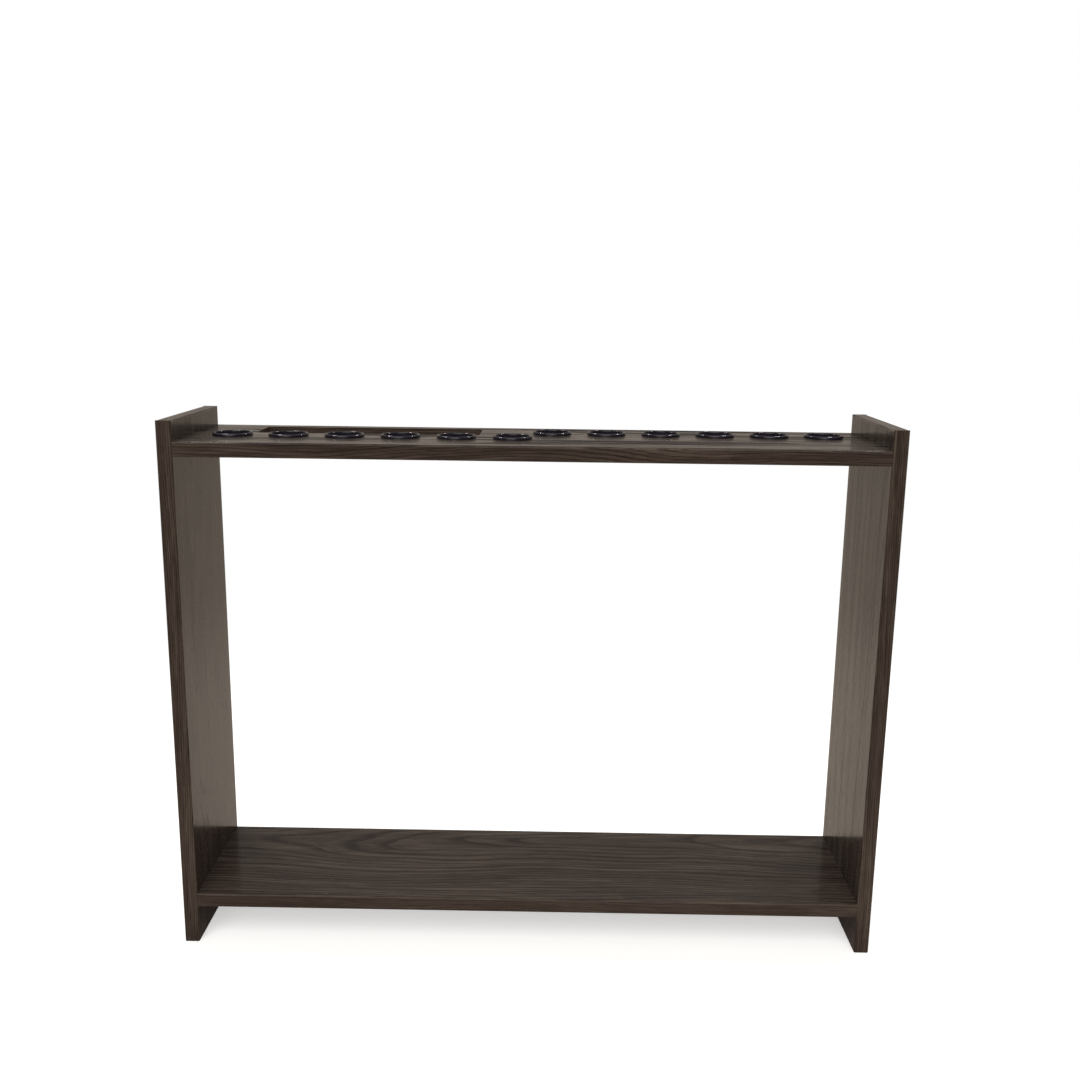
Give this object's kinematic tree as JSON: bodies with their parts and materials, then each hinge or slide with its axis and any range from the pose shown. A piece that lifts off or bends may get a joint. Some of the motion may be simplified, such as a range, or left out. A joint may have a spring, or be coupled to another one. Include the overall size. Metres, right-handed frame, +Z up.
{
  "type": "cue rack",
  "caption": "Standing cue rack of dark woodgrain boards: end panels, a pierced shelf with flanged grommets and a triangle slot, and a base shelf for cue butts and balls.",
  "frame": {"origin": "on the floor under the middle of the rack", "axes": "+X to the right along the shelves, +Y to the back, +Z up"},
  "size_m": [0.72, 0.155, 0.55],
  "materials": {
    "woodgrain_board": "satin dark woodgrain laminate",
    "edge_band": "satin dark woodgrain strip",
    "grommet_plastic": "glossy black",
    "zinc_cam": "die-cast zinc",
    "steel_bolt": "bright plated steel",
    "beech_dowel": "plain beech"
  },
  "bodies": {
    "root": {"left_end_panel": "woodgrain_board", "right_end_panel": "woodgrain_board", "cue_shelf": "woodgrain_board", "base_shelf": "woodgrain_board", "left_panel_front_band": "edge_band", "left_panel_back_band": "edge_band", "left_panel_top_band": "edge_band", "right_panel_front_band": "edge_band", "right_panel_back_band": "edge_band", "right_panel_top_band": "edge_band", "cue_shelf_front_band": "edge_band", "cue_shelf_back_band": "edge_band", "base_shelf_front_band": "edge_band", "base_shelf_back_band": "edge_band", "triangle_slot_band": "edge_band", "cue_grommet_01": "grommet_plastic", "cue_grommet_02": "grommet_plastic", "cue_grommet_03": "grommet_plastic", "cue_grommet_04": "grommet_plastic", "cue_grommet_05": "grommet_plastic", "cue_grommet_06": "grommet_plastic", "cue_grommet_07": "grommet_plastic", "cue_grommet_08": "grommet_plastic", "cue_grommet_09": "grommet_plastic", "cue_grommet_10": "grommet_plastic", "cue_grommet_11": "grommet_plastic", "cue_grommet_12": "grommet_plastic", "cue_shelf_left_cams": "zinc_cam", "cue_shelf_left_cam_bolts": "steel_bolt", "cue_shelf_left_dowels": "beech_dowel", "cue_shelf_right_cams": "zinc_cam", "cue_shelf_right_cam_bolts": "steel_bolt", "cue_shelf_right_dowels": "beech_dowel", "base_shelf_left_cams": "zinc_cam", "base_shelf_left_cam_bolts": "steel_bolt", "base_shelf_left_dowels": "beech_dowel", "base_shelf_right_cams": "zinc_cam", "base_shelf_right_cam_bolts": "steel_bolt", "base_shelf_right_dowels": "beech_dowel"}
  },
  "joints": []
}
